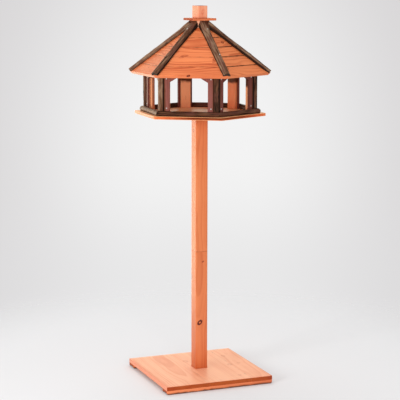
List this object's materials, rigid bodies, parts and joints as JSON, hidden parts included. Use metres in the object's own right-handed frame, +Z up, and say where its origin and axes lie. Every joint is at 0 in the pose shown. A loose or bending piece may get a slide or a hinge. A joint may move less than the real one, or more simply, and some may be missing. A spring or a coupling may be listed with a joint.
{
  "type": "bird feeder on a post",
  "caption": "Open six-sided bird feeder with a boarded hip roof, half-log trim and sloping brackets, on a square jointed post with a flat base board.",
  "frame": {"origin": "on the ground under the middle of the square base", "axes": "+Z up along the post; X and Y along the sides of the base; -Y is the front, towards which corner 1 of the house points"},
  "size_m": [0.447, 0.509, 1.3316],
  "materials": {
    "pale_pine": "matt stained, sanded",
    "orange_pine": "matt stained",
    "roof_board": "matt stained",
    "mahogany_board": "matt stained",
    "brown_log": "rough, stained, part barked"
  },
  "bodies": {
    "root": {"base_board": "pale_pine", "base_batten_front": "orange_pine", "base_batten_back": "orange_pine", "pole_lower": "orange_pine", "pole_upper": "orange_pine", "floor_board": "orange_pine", "floor_rail_1": "brown_log", "floor_rail_2": "brown_log", "floor_rail_3": "brown_log", "floor_rail_4": "brown_log", "floor_rail_5": "brown_log", "floor_rail_6": "brown_log", "wall_frame_1": "mahogany_board", "wall_frame_2": "mahogany_board", "wall_frame_3": "mahogany_board", "wall_frame_4": "mahogany_board", "wall_frame_5": "mahogany_board", "wall_frame_6": "mahogany_board", "corner_log_1": "brown_log", "corner_log_2": "brown_log", "corner_log_3": "brown_log", "corner_log_4": "brown_log", "corner_log_5": "brown_log", "corner_log_6": "brown_log", "corner_post_1": "orange_pine", "corner_post_2": "orange_pine", "corner_post_3": "orange_pine", "corner_post_4": "orange_pine", "corner_post_5": "orange_pine", "corner_post_6": "orange_pine", "roof_panel_1": "roof_board", "roof_panel_2": "roof_board", "roof_panel_3": "roof_board", "roof_panel_4": "roof_board", "roof_panel_5": "roof_board", "roof_panel_6": "roof_board", "hip_rafter_1": "brown_log", "hip_rafter_2": "brown_log", "hip_rafter_3": "brown_log", "hip_rafter_4": "brown_log", "hip_rafter_5": "brown_log", "hip_rafter_6": "brown_log", "king_post": "orange_pine", "cap_plate": "orange_pine", "top_block": "pale_pine"}
  },
  "joints": []
}
